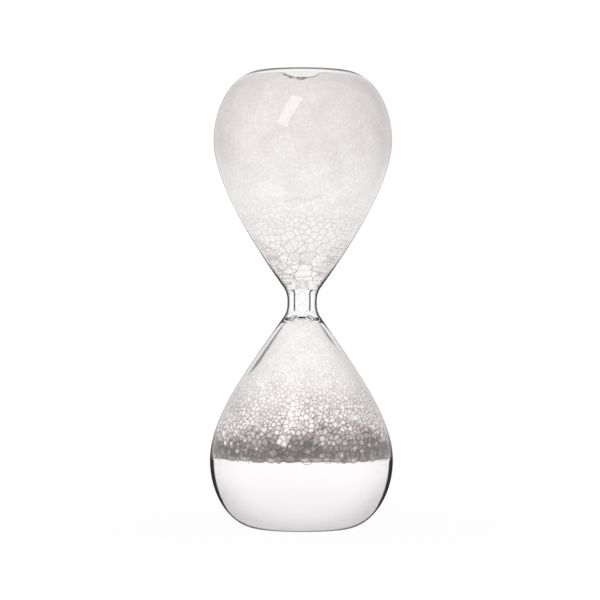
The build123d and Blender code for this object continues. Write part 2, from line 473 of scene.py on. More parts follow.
clear_glass, tree, output = new_material("clear glass")
facing = node(tree, "ShaderNodeLayerWeight", {"Blend": 0.5}).outputs["Facing"]
line = ramp(tree, facing, attribute(tree, "line_from"), attribute(tree, "line_to"))
line_end = attribute(tree, "line_end")
past = ramp(tree, facing, line_end, maths(tree, "ADD", line_end, LINE_FADE))
line = maths(tree, "MULTIPLY", line, maths(tree, "SUBTRACT", 1.0, past))
met_first = maths(tree, "LESS_THAN", node(tree, "ShaderNodeLightPath").outputs["Ray Depth"], FIRST_TWO)
line = maths(tree, "MULTIPLY", line, met_first)
line = maths(tree, "MULTIPLY_ADD", line, attribute(tree, "line_depth"), attribute(tree, "painted_shade_veil"))
soft = ramp(tree, facing, SOFT_FROM, SOFT_TO)
line = maths(tree, "MULTIPLY_ADD", soft, attribute(tree, "soft_depth"), line, clamp=True)
body = node(
    tree,
    "ShaderNodeBsdfPrincipled",
    {"Base Color": (1, 1, 1, 1), "Roughness": 0.0, "IOR": GLASS_IOR, "Transmission Weight": 1.0},
)
# Painted shade: this nearly black shader is mixed in along the outline.
dark = node(
    tree,
    "ShaderNodeBsdfPrincipled",
    {"Base Color": (0.035, 0.03, 0.03, 1), "Roughness": 0.6, "Specular IOR Level": 0.0},
)
edged = node(tree, "ShaderNodeMixShader", {0: line, 1: body.outputs[0], 2: dark.outputs[0]})
let_light_in(tree, output, edged.outputs[0])
print("Glass bends by", GLASS_IOR)

# %% Glass envelope
GLASS_COLUMNS = 168
LIQUID_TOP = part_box("liquid")[1][2] / MM
INNER_LINE_END, NO_END = 0.262, 2.0
LETS_GO_SIDE, LETS_GO_LEAN, LETS_GO_CLIMB, LETS_GO_TOP = 46.4, 4.5, 20, 66
LETS_GO_OVER = 1.5
# The numbers on the glass, by height in the rows below: where the line starts and ends, how dark it is, a
# grey veil and a soft shade, all of it painted shade.
LINE_NUMBERS = ["line_from", "line_to", "line_depth", "painted_shade_veil", "soft_depth"]
OUTER_LINE = [
    (0, 0.72, 0.88, 0.50, 0.15, 0.20),
    (4.6, 0.80, 0.90, 0.65, 0.10, 0.28),
    (7.1, 0.77, 0.85, 0.72, 0.084, 0.28),
    (9.7, 0.735, 0.80, 0.80, 0.067, 0.28),
    (12.3, 0.715, 0.778, 0.84, 0.046, 0.26),
    (15, 0.695, 0.755, 0.87, 0.020, 0.22),
    (18, 0.685, 0.745, 0.88, 0.002, 0.14),
    (LIQUID_TOP - 3, 0.68, 0.74, 0.88, 0.0, 0.12),
    (LIQUID_TOP - 0.5, 0.68, 0.74, 0.88, 0.0, 0.12),
    (LIQUID_TOP + 1.5, 0.74, 0.84, 0.75, 0.0, 0.15),
    (32, 0.80, 0.95, 0.50, 0.0, 0.15),
    (50, 0.84, 0.97, 0.45, 0.0, 0.22),
    (64, 0.78, 0.93, 0.65, 0.0, 0.22),
    (67, 0.55, 0.80, 0.85, 0.0, 0.10),
    (70, 0.40, 0.68, 0.95, 0.0, 0.0),
    (74, 0.35, 0.62, 0.96, 0.0, 0.0),
    (79, 0.40, 0.68, 0.95, 0.0, 0.0),
    (83, 0.55, 0.80, 0.92, 0.0, 0.10),
    (86, 0.66, 0.86, 0.85, 0.0, 0.10),
    (90, 0.75, 0.91, 0.72, 0.0, 0.10),
    (104, 0.84, 0.95, 0.50, 0.0, 0.08),
    (114, 0.85, 0.95, 0.50, 0.0, 0.10),
    (125, 0.85, 0.95, 0.55, 0.0, 0.20),
    (145, 0.85, 0.95, 0.40, 0.0, 0.20),
    (147.5, 0.86, 0.96, 0.20, 0.0, 0.10),
    (149.2, 0.62, 0.78, 0.62, 0.0, 0.0),
    (150, 0.73, 0.85, 0.95, 0.0, 0.0),
]
INNER_LINE = [
    (44, 0.222, 0.25, 0.0, 0.0, 0.0),
    (46, 0.222, 0.25, 0.75, 0.0, 0.0),
    (66, 0.222, 0.25, 0.75, 0.0, 0.0),
    (67.5, 0.222, 0.25, 0.0, 0.0, 0.0),
    (70.4, 0.30, 0.55, 0.0, 0.0, 0.0),
    (71.2, 0.30, 0.55, 0.96, 0.0, 0.0),
    (78.8, 0.30, 0.55, 0.96, 0.0, 0.0),
    (80.5, 0.45, 0.75, 0.7, 0.0, 0.0),
    (83, 0.60, 0.85, 0.0, 0.0, 0.0),
    (144, 0.60, 0.90, 0.0, 0.0, 0.0),
    (146, 0.78, 0.95, 0.35, 0.03, 0.0),
    (150, 0.78, 0.95, 0.35, 0.03, 0.0),
]


def lets_go(angle):
    """Height at which the lower foam leaves the glass: lowest at the sides, and lower on the left."""
    height = LETS_GO_SIDE + LETS_GO_LEAN * np.cos(angle) + LETS_GO_CLIMB * np.abs(np.sin(angle))
    return np.minimum(height, LETS_GO_TOP)


def foam_is_off(z, angle):
    """0 where the lower foam touches the glass and 1 where it has let go of it."""
    return np.clip((z - lets_go(angle)) / LETS_GO_OVER, 0, 1)


outer_points, outer_faces = revolved(outside, GLASS_COLUMNS)
inner_points, inner_faces = revolved(inside, GLASS_COLUMNS)
inner_faces = [[v + len(outer_points) for v in face] for face in flipped(inner_faces)]
glass_envelope = add_piece(
    "glass_envelope",
    np.concatenate([outer_points, inner_points]),
    outer_faces + inner_faces,
    clear_glass,
    "vessel",
    ["lower_bulb", "neck_tube", "upper_bulb", "seal_tip"],
)
inner_angle = np.arctan2(inner_points[:, 1], inner_points[:, 0])
for column, name in enumerate(LINE_NUMBERS, start=1):
    outer = by_height(outer_points[:, 2], *[(row[0], row[column]) for row in OUTER_LINE])
    inner = by_height(inner_points[:, 2], *[(row[0], row[column]) for row in INNER_LINE])
    if name == "line_depth":
        inner *= foam_is_off(inner_points[:, 2], inner_angle)
    give(glass_envelope, name, np.concatenate([outer, inner]))
inner_end = np.where(inner_points[:, 2] < LOWER_WELD + 2, INNER_LINE_END, NO_END)
give(glass_envelope, "line_end", np.concatenate([np.full(len(outer_points), NO_END), inner_end]))

# %% [markdown]
# ## Liquid
# The liquid is clear. It stands in the foot, wets the glass behind the bubbles that lie on it, and still
# drains between the large bubbles over the neck. It reaches a little into the wall, so no air is left
# between the two and the light bends once from glass to liquid. Its other side lies inside the foam,
# which presses against the glass above it and lets go of it towards the neck, first at the sides. Over the
# neck the liquid has a round room in it, as high as the upper bubble of the bore rises.

# %% Liquid
WETTED = 0.05
LIQUID_IOR = 1.36
FILM_TOP = LIQUID_TOP + 10.5
LEVEL = LIQUID_TOP + 0.4
BEHIND_SKIN = 0.6
LOWER_GAP = 0.65

clear_liquid, tree, output = new_material("clear liquid")
body = node(
    tree,
    "ShaderNodeBsdfPrincipled",
    {"Base Color": (1, 0.986, 0.988, 1), "Roughness": 0.0, "IOR": LIQUID_IOR, "Transmission Weight": 1.0},
)
let_light_in(tree, output, body.outputs[0])


def lower_depth(z, angle):
    """How far the lower foam stays off the wall: behind the raft, then on the glass, then clear of it."""
    held = by_height(z - LIQUID_TOP, (0, 2.6), (4, 2.2), (7, 0.6), (9, -0.3))
    return held + LOWER_GAP * foam_is_off(z, angle)


outer = off_wall(np.linspace(0, length_at(FILM_TOP), 90), np.full(90, -WETTED))
back = length_at(np.linspace(FILM_TOP, LEVEL, 40))
inner = off_wall(back, lower_depth(wall_at(back)[0][:, 1], 0) + BEHIND_SKIN)
level = np.stack([np.linspace(inner[-1, 0], 0, 12), np.full(12, LEVEL)], -1)[1:]
points, faces = revolved(np.concatenate([outer, inner, level]), GLASS_COLUMNS)
add_piece("liquid_pool", points, faces, clear_liquid, "vessel", ["liquid"])

# %% Liquid that still drains over the neck
DRAIN_FROM = 79.0
DRAIN_TO = 109.0
UPPER_START = 89.0
DRAIN_MIDDLE = UPPER_START + 1.0
BORDER_REACH = 2.2
BEHIND_CORE = 0.5
RISE = max(joint["range_m"][1] for joint in frame["joints"]) / MM
BUBBLE_ROOM = 0.1
rising = np.array(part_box("upper_neck_bubble")) / MM


def round_end(r):
    """Profile of the lower half of a ball whose lowest point is at height 0."""
    turn = np.linspace(0, np.pi / 2, 12)
    return np.stack([r * np.sin(turn), r * (1 - np.cos(turn))], -1)


def core_depth(z):
    """How far the upper foam stays off the wall: the large cells lie before its lower part."""
    return by_height(z, (89, 7.5), (96, 5.0), (101, 3.0), (107, -0.3))


def upper_depth(z, angle):
    """The same, with a border that wanders up and down by about two millimetres round the bulb."""
    wander = 1.0 * np.sin(3 * angle + 1) + 0.7 * np.sin(8 * angle) + 0.5 * np.sin(19 * angle + 2)
    return core_depth(z - wander)


outer = off_wall(length_at(np.linspace(DRAIN_FROM, DRAIN_TO, 60)), np.full(60, -WETTED))
room_r, room_top = rising[1, 0] + BUBBLE_ROOM, rising[1, 2] + RISE + 2 * BUBBLE_ROOM
dome = round_end(room_r) * [1, -1] + [0, room_top]
back = length_at(np.linspace(DRAIN_TO, DRAIN_MIDDLE, 30))
inner = off_wall(back, core_depth(wall_at(back)[0][:, 1] - BORDER_REACH) + BEHIND_CORE)
profile = np.concatenate([dome, [[room_r, DRAIN_FROM]], outer, inner, [[0, DRAIN_MIDDLE]]])
points, faces = revolved(profile, GLASS_COLUMNS)
add_piece("draining_liquid", points, faces, clear_liquid, "vessel", [])
print("Room for the bubble up to", round(room_top, 2), "mm, as it rises by", round(RISE, 2))

# %% [markdown]
# ## Cells of a foam
# Bubbles that touch a wall share it out: every point belongs to the bubble whose centre is nearest. The
# centres lie in staggered rows along the wall and are moved by chance. The plane half way between the
# two nearest centres is the film between two bubbles, so the distance to it tells how far a point is
# from the border of its cell.

# %% Seeds in staggered rows
CHANCE_SEED = 11
ROW_STEP = 0.87

chance = np.random.default_rng(CHANCE_SEED)


def seed_rows(start, end, size, depth=0.0, jitter=0.42):
    """One seed for each cell along the wall between two lengths, and each cell's size.

    Rows lie ROW_STEP cells apart, and each holds as many seeds as fit round it. Every other row is shifted
    by half a cell, and each seed is moved by chance. `size` is given by height, `depth` in cells.
    """
    seeds, sizes = [], []
    length, row = start, 0
    while length < end:
        (r, z), inward = (v[0] for v in wall_at(np.array([length])))
        cell = float(size(z))
        count = max(1, round(2 * np.pi * (r + inward[0] * depth * cell) / cell))
        move = chance.uniform(-jitter, jitter, (2, count))
        angle = (np.arange(count) + row % 2 / 2 + move[0]) * 2 * np.pi / count
        at = np.clip(length + move[1] * cell, 0, wall_length[-1])
        seeds.append(turned(off_wall(at, np.full(count, depth * cell)), angle))
        sizes.append(np.full(count, cell))
        length, row = length + ROW_STEP * cell, row + 1
    return np.concatenate(seeds), np.concatenate(sizes)


print("Chance numbers start from seed", CHANCE_SEED)

# %% Distance to the border of a cell
NEAR_SEEDS = 7.0


def nearest_cell(points, seeds, weights):
    """For each point, the number of its cell, its distance to the edge and to the centre of the cell.

    A point belongs to the seed with the least d^2 - w, so a seed with a larger weight w has a larger cell.
    A film lies ((d2^2 - w2) - (d1^2 - w1)) / (2 |s2 - s1|) away. The two nearest films count together as
    1 / sqrt(1 / a^2 + 1 / b^2), which rounds the corners where they meet, as liquid does that gathers
    there. Rows are taken a few at a time, each with the seeds near it.
    """
    shape = points.shape[:2]
    cell, edge, centre = np.empty(shape, int), np.empty(shape), np.empty(shape)
    for first in range(0, len(points), 4):
        rows = slice(first, first + 4)
        low, high = points[rows, :, 2].min() - NEAR_SEEDS, points[rows, :, 2].max() + NEAR_SEEDS
        near = np.flatnonzero((seeds[:, 2] > low) & (seeds[:, 2] < high))
        close = seeds[near]
        square = (points[rows] ** 2).sum(-1)[..., None] + (close**2).sum(-1) - 2 * points[rows] @ close.T
        power = square - weights[near]
        three = np.argpartition(power, 2, axis=-1)[..., :3]
        least = np.take_along_axis(power, three, -1)
        order = least.argsort(-1)
        three, least = np.take_along_axis(three, order, -1), np.take_along_axis(least, order, -1)
        own, others = three[..., :1], three[..., 1:]
        between = np.linalg.norm(close[others] - close[own], axis=-1)
        films = np.maximum((least[..., 1:] - least[..., :1]) / (2 * between), 1e-6)
        edge[rows] = (films**-2.0).sum(-1) ** -0.5
        centre[rows] = np.sqrt(np.maximum(np.take_along_axis(square, own, -1)[..., 0], 0))
        cell[rows] = near[own[..., 0]]
    return cell, edge, centre


trial_seeds = np.array([[0.0, 0.0, 0.0], [2.0, 0.0, 0.0], [0.0, 6.0, 0.0]])
trial = nearest_cell(np.array([[[0.4, 0.0, 0.0]]]), trial_seeds, np.zeros(3))
print("0.6 mm from one film and 3 mm from the next counts as", round(trial[1].item(), 3), "mm to the edge")

# %% [markdown]
# ## Fine foam
# Most of the upper bulb and the top of the lower one hold foam so fine that it looks like a white mass.
# Against the glass each bubble still ends in a round patch. The skin of the mass is a grid along the
# wall that sinks in along the borders of the cells. How light a patch is depends on how much liquid is
# left in it: drained foam is white, and wet foam just above the liquid is dark with bright spots where a
# bubble lets the light through. That dark is partly the grey of wet foam and partly painted shade for the
# dark that its bubbles bend in, and the bright spots are painted highlights. That number is worked out
# for every vertex and the material reads it.

# %% Skin of a foam mass
SPLIT = 5
SPLIT_SIZE = 0.45
BULGE_OVER = 0.3


def crowded(seeds, cells, some):
    """The same seeds, with each of the chosen ones split into a few small ones near it."""
    near = chance.uniform(-0.4, 0.4, (SPLIT * some.sum(), 3)) * cells[some].repeat(SPLIT)[:, None]
    seeds = np.concatenate([seeds[~some], seeds[some].repeat(SPLIT, 0) + near])
    return seeds, np.concatenate([cells[~some], cells[some].repeat(SPLIT) * SPLIT_SIZE])


def foam_skin(lengths, columns, size, depth, groove, uneven, crowd=None):
    """Skin along the wall, with each point's distance to the edge and to the centre in cells, and its luck.

    The skin lies `depth` inside the wall, and deeper by `groove` cells on a border. It rises from there
    like a quarter circle over a third of the cell. The luck is one chance number for each cell. `crowd`
    tells which seeds are to be split into small ones.
    """
    angle = angles(columns)
    point, inward = wall_at(lengths)
    seeds, cells = seed_rows(lengths.min() - 3, min(lengths.max() + 3, wall_length[-1]), size)
    if crowd:
        seeds, cells = crowded(seeds, cells, crowd(seeds))
    weights = (cells * chance.uniform(0, uneven, len(cells))) ** 2
    cell, edge, centre = nearest_cell(turned(point, angle), seeds, weights)
    bulge = np.sqrt(1 - (1 - np.clip(edge / cells[cell] / BULGE_OVER, 0, 1)) ** 2)
    z = point[..., 1]
    away = depth(z, angle) + groove(z) * cells[cell] * (1 - bulge)
    skin = turned(point + inward * away[..., None], angle)
    return skin, edge / cells[cell], centre / cells[cell], chance.random(len(seeds))[cell]


def drift(angle, z):
    """A slow change round the bulb and up it, between about -1 and 1: a few waves with chance phases."""
    phase = chance.uniform(0, 2 * np.pi, 5)
    counts, climbs = (2, 3, 5, 8, 13), (0.1, -0.25, 0.35, -0.5, 0.7)
    waves = [np.sin(k * angle + q * z + p) for k, q, p in zip(counts, climbs, phase)]
    return sum(waves) / 2.5


# %% Tone of a foam mass
BORDER_SHARE = 0.15
PAINTED_GLINT_SHARE = 0.15
PAINTED_GLINT_TONE = 0.95
DARKEST, LIGHTEST = 0.01, 0.96


def foam_tone(edge, centre, luck, light, dark, spread, painted_glint_odds):
    """How light a foam is: dark on the borders, light inside, with a painted highlight, a white dot, in the
    luckiest cells.
    """
    border = np.clip(edge / BORDER_SHARE, 0, 1)
    inner = border**2 * (3 - 2 * border)
    tone = dark + (light - dark + spread * (luck - 0.5)) * inner
    # Painted highlight: a white dot in the middle of the luckiest cells.
    painted_glint = np.clip(1.5 - centre / PAINTED_GLINT_SHARE, 0, 1) * (luck > 1 - painted_glint_odds)
    return np.clip(tone + (PAINTED_GLINT_TONE - tone) * painted_glint, DARKEST, LIGHTEST)


across_cell = np.array([0.0, 0.08, 0.3])
trial = foam_tone(across_cell, 1 - across_cell, 0.5, 0.9, 0.3, 0.0, 0.0)
print("Tone from border to middle:", trial.round(2))

# %% Tint of foam
def new_tint():
    """Node group: white where the foam is light and a warm grey where it is dark."""
    group = bpy.data.node_groups.new("foam tint", "ShaderNodeTree")
    group.interface.new_socket("Shade", in_out="INPUT", socket_type="NodeSocketFloat")
    group.interface.new_socket("Color", in_out="OUTPUT", socket_type="NodeSocketColor")
    shade = node(group, "NodeGroupInput").outputs["Shade"]
    green = maths(group, "MULTIPLY", shade, maths(group, "MULTIPLY_ADD", shade, 0.165, 0.82))
    blue = maths(group, "MULTIPLY", shade, maths(group, "MULTIPLY_ADD", shade, 0.22, 0.775))
    tinted = node(group, "ShaderNodeCombineColor", {0: shade, 1: green, 2: blue})
    node(group, "NodeGroupOutput", {"Color": tinted.outputs[0]})
    return group


foam_tint = new_tint()
print("Node group", foam_tint.name, "has", len(foam_tint.nodes), "nodes")

# %% Fine foam material
fine_foam, tree, output = new_material("fine foam")
place = node(tree, "ShaderNodeTexCoord").outputs["Object"]
cloud = node(tree, "ShaderNodeTexNoise", {"Vector": place, "Scale": 120.0, "Detail": 2.0, "Roughness": 0.5})
grain = node(tree, "ShaderNodeTexVoronoi", {"Vector": place, "Scale": 900.0})
cloudy = ramp(tree, cloud.outputs["Fac"], 0.3, 0.7, 0.96, 1.03)
shade = maths(tree, "MULTIPLY", attribute(tree, "tone"), cloudy)
shade = maths(tree, "MULTIPLY", shade, ramp(tree, grain.outputs["Distance"], 0.1, 0.8, 1.02, 0.95))
tinted = node(tree, "ShaderNodeGroup", {"Shade": shade}, node_tree=foam_tint)
bumpy = node(
    tree, "ShaderNodeBump", {"Height": grain.outputs["Distance"], "Strength": 0.15, "Distance": 0.0003}
)
body = node(
    tree,
    "ShaderNodeBsdfPrincipled",
    {
        "Base Color": tinted.outputs[0],
        "Roughness": 0.4,
        "Specular IOR Level": 0.25,
        "Normal": bumpy.outputs["Normal"],
    },
)
tree.links.new(body.outputs[0], output.inputs["Surface"])
print("Fine foam is a tree of", len(tree.nodes), "nodes")

# %% Skin of the upper foam
COLUMNS = 440
UPPER_ROWS = 210
POCKET = 143.0
EDGE = 147.4
NOTCH, NOTCH_PLACE, NOTCH_WIDTH = 2.2, -0.02, 0.25


def upper_cell(z):
    """Cell size of the upper foam by height."""
    return by_height(z, (100, 2.2), (112, 1.8))


angle = angles(COLUMNS)
from_front = (angle - np.pi / 2) % (2 * np.pi) - np.pi
notch = np.exp(-np.abs((from_front - NOTCH_PLACE) / NOTCH_WIDTH) ** 2.7)
edge_z = EDGE - NOTCH * notch + 0.2 * np.sin(3 * angle) + 0.25 * notch * np.sin(25 * angle + 1)
share = np.linspace(0, 1, UPPER_ROWS)[:, None]
lengths = length_at(UPPER_START) + share * (length_at(edge_z) - length_at(UPPER_START))
skin, edge, centre, luck = foam_skin(
    lengths,
    COLUMNS,
    upper_cell,
    upper_depth,
    lambda z: by_height(z, (100, 0.08), (106, 0.05), (116, 0.03), (150, 0.02)),
    uneven=0.4,
)
inward = np.linspace(0, 1, 14)[1:-1, None, None]
fall = (POCKET - skin[-1][:, 2:]) * (1 - (1 - inward) ** 2)
bowl = skin[-1] * [1, 1, 0] * (1 - inward) + [0, 0, 1] * (skin[-1][:, 2:] + fall)
print("Upper foam ends between", round(edge_z.min(), 1), "and", round(edge_z.max(), 1), "mm")

# %% Foam of the upper bulb
# Painted light: the upper foam is painted lighter towards its bottom, against the shade on its faces that
# look down, and it is darker towards the top.
UPPER_LIGHT = [(95, 0.96), (109, 0.90), (114, 0.875), (119, 0.825)]
UPPER_LIGHT += [(125, 0.79), (135, 0.77), (143, 0.75), (150, 0.72)]
LIP_SPOTS = [(-0.29, 0.4), (-0.19, 0.9)]
BOWL_TONE = 0.85

z = skin[..., 2]
light = by_height(z, *UPPER_LIGHT)
border = by_height(z, (90, 0.03), (106, 0.06), (112, 0.04), (150, 0.025))
tone = foam_tone(edge, centre, luck, light, light - border, 0.035, 0.0)
below = length_at(edge_z) - lengths
# The foam is darker along its edge where the notch is, with two darker spots just below that edge.
lip = by_height(below, (0.3, 0.75), (0.8, 0.0)) * notch**0.5 * (0.8 + 0.2 * np.sin(31 * angle))
for place, deep in LIP_SPOTS:
    lip += 0.8 * np.exp(-(((from_front - place) / 0.04) ** 2) - ((below - deep) / 0.4) ** 2)
tone *= 1 - np.clip(lip, 0, 0.9)
rows = np.concatenate([skin, bowl])
upper_foam_mass = add_piece(
    "upper_foam_mass",
    np.concatenate([rows.reshape(-1, 3), [[0, 0, UPPER_START - 1], [0, 0, POCKET]]]),
    capped_faces(len(rows), COLUMNS),
    fine_foam,
    "vessel",
    ["upper_foam"],
)
give(upper_foam_mass, "tone", np.concatenate([tone.ravel(), np.full(bowl[..., 0].size + 2, BOWL_TONE)]))

# %% Skin of the lower foam
CORE_TOP = 69.0
CORE_COLUMNS = 560
CORE_BOTTOM = LIQUID_TOP + 0.1
FINE_STEP, COARSE_STEP, FINE_TO = 0.29, 0.5, 50
SCALLOPS = 46
UNDERSIDE_RINGS, UNDERSIDE_TONES = (0.93, 0.985), (0.90, 0.80)
HANGING = 1.1
CROWDED = 0.15


def lower_cell(z):
    """Cell size of the lower foam by height."""
    return by_height(z - LIQUID_TOP, (0, 2.5), (5, 1.9), (10, 1.5), (22, 1.3), (44, 1.25))


def scallops(angle, count):
    """Round bottoms of the lowest bubbles: arcs 2 sqrt(t (1 - t)) between chance ends, t and their luck."""
    move = np.resize(chance.uniform(-0.45, 0.45, count), count + 1)
    ends = (np.arange(count + 1) + move) * 2 * np.pi / count
    turn = (angle - ends[0]) % (2 * np.pi) + ends[0]
    place = np.searchsorted(ends, turn, side="right") - 1
    t = np.clip((turn - ends[place]) / (ends[place + 1] - ends[place]), 0, 1)
    return 2 * np.sqrt(t * (1 - t)) * chance.uniform(0.3, 1, count)[place], t, chance.random(count)[place]


angle = angles(CORE_COLUMNS)
fine_rows = np.arange(length_at(LIQUID_TOP + 0.6), length_at(FINE_TO), FINE_STEP)
coarse_rows = np.arange(fine_rows[-1] + COARSE_STEP, length_at(CORE_TOP - 0.2), COARSE_STEP)
lengths = np.concatenate([fine_rows, coarse_rows])[:, None]
hanging, across, bright = scallops(angle, SCALLOPS)
lengths = lengths - HANGING * hanging * np.clip(1 - (lengths - lengths[0]) / 2, 0, 1)
skin, edge, centre, luck = foam_skin(
    lengths,
    CORE_COLUMNS,
    lower_cell,
    lower_depth,
    lambda z: by_height(z, (20, 0.18), (40, 0.12), (50, 0.06), (66, 0.03)),
    uneven=0.65,
    crowd=lambda seeds: chance.random(len(seeds)) < CROWDED,
)
shrink = np.array(UNDERSIDE_RINGS)[:, None, None]
underside = skin[0] * [1, 1, 0] * shrink + [0, 0, CORE_BOTTOM]
print("Lower foam has", len(lengths), "rows of", CORE_COLUMNS, "points")

# %% Foam of the lower bulb
# Tones by height over the liquid: the dark just above it is partly the grey of wet foam and partly painted
# shade.
LOWER_LIGHT = [(2, 0.21), (4.5, 0.25), (7, 0.40), (9.6, 0.68), (12, 0.88)]
LOWER_LIGHT += [(17, 0.88), (20, 0.90), (25, 0.92), (35, 0.90)]
LOWER_DARK = [(2, 0.02), (7, 0.03), (9.6, 0.06), (12, 0.18), (17, 0.31)]
LOWER_DARK += [(20, 0.44), (25, 0.67), (30, 0.78), (44, 0.85)]
PAINTED_LIGHT_SIDE, PAINTED_LIGHT_WIDTH = 1.13, 0.10

z = skin[..., 2]
from_front = np.abs((angle - np.pi / 2) % (2 * np.pi) - np.pi)
up = z - LIQUID_TOP + 1.6 * drift(angle, z)
light = by_height(up, *LOWER_LIGHT)
dark = by_height(up, *LOWER_DARK)
spread = by_height(up, (2, 0.26), (7, 0.34), (9.6, 0.44), (12, 0.30), (20, 0.14), (28, 0.06))
painted_glint_odds = by_height(up, (0, 0.10), (5, 0.20), (10, 0.16), (18, 0.10), (24, 0.0))
# Painted light: in a narrow band on each side, as seen from the front, cells a little above the liquid are
# painted light, where clear bubbles would show the white behind them.
clear = np.exp(-(((from_front - PAINTED_LIGHT_SIDE) / PAINTED_LIGHT_WIDTH) ** 2))
clear = clear * by_height(up, (5, 0.0), (7, 1.0), (11, 1.0), (14, 0.0))
light = light + (0.92 - light) * clear * (luck > 0.4)
tone = foam_tone(edge, centre, luck, light, dark, spread, painted_glint_odds)
# Painted shade: up to about 6 mm over the liquid, the foam is painted darker everywhere but in front, so
# that it darkens towards the left and right sides as seen from the front.
tone *= 1 - 0.6 * by_height(from_front, (1.0, 0), (1.3, 1)) * by_height(up, (4, 1), (6.5, 0))
tone *= 1 + by_height(up, (2, 0.14), (20, 0.06), (32, 0.02)) * chance.normal(0, 1, tone.shape)
# Painted light and shade: the lowest bubbles are painted light in the middle of each arc and dark at its
# ends and along its bottom.
above = lengths - lengths[0]
fringe = (0.1 + 0.5 * bright) * np.sin(np.pi * across) ** 0.7
fringe = 0.10 + fringe * by_height(above, (0.1, 0.0), (0.5, 1.0))
tone = tone + (fringe - tone) * by_height(above, (0.9, 1.0), (1.8, 0.0))
rows = np.concatenate([underside, skin])
lower_foam_mass = add_piece(
    "lower_foam_mass",
    np.concatenate([rows.reshape(-1, 3), [[0, 0, CORE_BOTTOM], [0, 0, CORE_TOP]]]),
    capped_faces(len(rows), CORE_COLUMNS),
    fine_foam,
    "vessel",
    ["lower_foam"],
)
below = np.repeat(UNDERSIDE_TONES, CORE_COLUMNS)
give(lower_foam_mass, "tone", np.concatenate([below, tone.ravel(), [0.9, 0.9]]))

# %% [markdown]
# ## Single bubbles
# On the liquid the bubbles are large enough to tell apart. A bubble in a crowd is a ball that its
# neighbours flatten: films lie half way between two centres, and the edges stay round. Each bubble is
# drawn from its centre: in every direction its radius comes from the distances to all those flat films,
# added up in a high power, which rounds the corners where two films meet.

# %% Bubbles pressed together
LOOSE_BALL = 0.62
LEAST_REACH = 0.15


def wall_near(points):
    """Unit vectors from points to the nearest place on the inner wall, and their distances."""
    r = np.hypot(points[:, 0], points[:, 1])
    gap = inside[None, :, :] - np.stack([r, points[:, 2]], -1)[:, None, :]
    distance = np.linalg.norm(gap, axis=-1)
    best = distance.argmin(1)
    pick = np.arange(len(points))
    direction = gap[pick, best] / distance[pick, best, None]
    around = points[:, :2] / np.maximum(r, 1e-6)[:, None]
    return np.column_stack([around * direction[:, :1], direction[:, 1]]), distance[pick, best]


def pressed_bubbles(seeds, sizes, power, rings, columns, film=0.06, wall_gap=0.08, neighbours=14):
    """Vertices and faces of bubbles: radius(u) = (sum of (max(u.n, 0) / d)^power)^(-1/power).

    n and d are the direction and the distance of each film: half way to each neighbour, at the wall,
    and a ball of LOOSE_BALL sizes that bounds a bubble with no neighbour on one side.
    """
    gap = seeds[None] - seeds[:, None]
    distance = np.linalg.norm(gap, axis=-1)
    order = np.argsort(distance, 1)[:, 1 : neighbours + 1]
    pick = np.arange(len(seeds))[:, None]
    share = sizes[:, None] / (sizes[:, None] + sizes[order])
    normals = gap[pick, order] / distance[pick, order][..., None]
    reach = distance[pick, order] * share - film / 2
    to_wall, wall_distance = wall_near(seeds)
    normals = np.concatenate([normals, to_wall[:, None]], 1)
    reach = np.concatenate([reach, np.maximum(wall_distance - wall_gap, LEAST_REACH)[:, None]], 1)
    side = np.cross(to_wall, [0.0, 0.0, 1.0])
    side /= np.linalg.norm(side, axis=1, keepdims=True)
    frame_of = np.stack([side, np.cross(to_wall, side), to_wall], 1)
    polar = np.linspace(0, np.pi, rings + 2)[1:-1, None]
    ring = turned(np.concatenate([np.sin(polar), np.cos(polar)], -1)[:, None], angles(columns))
    local = np.concatenate([ring[::-1].reshape(-1, 3), [[0, 0, -1], [0, 0, 1]]])
    ray = np.einsum("vk,bkx->bvx", local, frame_of)
    press = np.maximum(np.einsum("bvx,bnx->bvn", ray, normals), 0) / reach[:, None]
    ball = (1 / (LOOSE_BALL * sizes))[:, None] ** power
    radius = ((press**power).sum(-1) + ball) ** (-1 / power)
    points = seeds[:, None] + ray * radius[..., None]
    one = capped_faces(rings, columns)
    faces = [[v + k * len(local) for v in face] for k in range(len(seeds)) for face in one]
    return points.reshape(-1, 3), faces


trial = wall_near(np.array([[20.0, 0.0, LIQUID_TOP]]))[1].item()
print("At the liquid's level the wall is", round(trial, 1), "mm from a point 20 mm off the axis")

# %% Film materials
def film_material(name, rim, rim_from, rim_to, rim_weight, haze, haze_weight):
    """A thin clear film: a haze all over, and a dark border where the eye looks along it, which is painted
    shade.
    """
    material, tree, output = new_material(name)
    facing = node(tree, "ShaderNodeLayerWeight", {"Blend": 0.5}).outputs["Facing"]
    border = ramp(tree, facing, rim_from, rim_to)
    colour = node(tree, "ShaderNodeMix", {0: border, 6: (*haze, 1), 7: (*rim, 1)}, data_type="RGBA")
    body = node(
        tree, "ShaderNodeBsdfPrincipled", {"Base Color": colour.outputs[2], "Roughness": 0.12, "IOR": 1.33}
    )
    clear = node(tree, "ShaderNodeBsdfTransparent", {"Color": (1, 1, 1, 1)})
    weight = ramp(tree, facing, rim_from, rim_to, haze_weight, rim_weight)
    film = node(tree, "ShaderNodeMixShader", {0: weight, 1: clear.outputs[0], 2: body.outputs[0]})
    let_light_in(tree, output, film.outputs[0])
    return material


wet_film = film_material("wet film", (0.05, 0.045, 0.04), 0.5, 0.9, 0.85, (0.45, 0.43, 0.43), 0.05)
neck_film = film_material("neck film", (0.30, 0.29, 0.29), 0.45, 0.9, 0.75, (0.96, 0.95, 0.95), 0.25)
print("Films:", wet_film.name, "and", neck_film.name)

# %% Raft of wet bubbles
RAFT_FROM, RAFT_TO = LIQUID_TOP + 2.1, LIQUID_TOP + 9


def raft_cell(z):
    """Size of the wet bubbles by height."""
    return by_height(z - LIQUID_TOP, (0, 3.3), (4, 2.9), (9, 2.2))


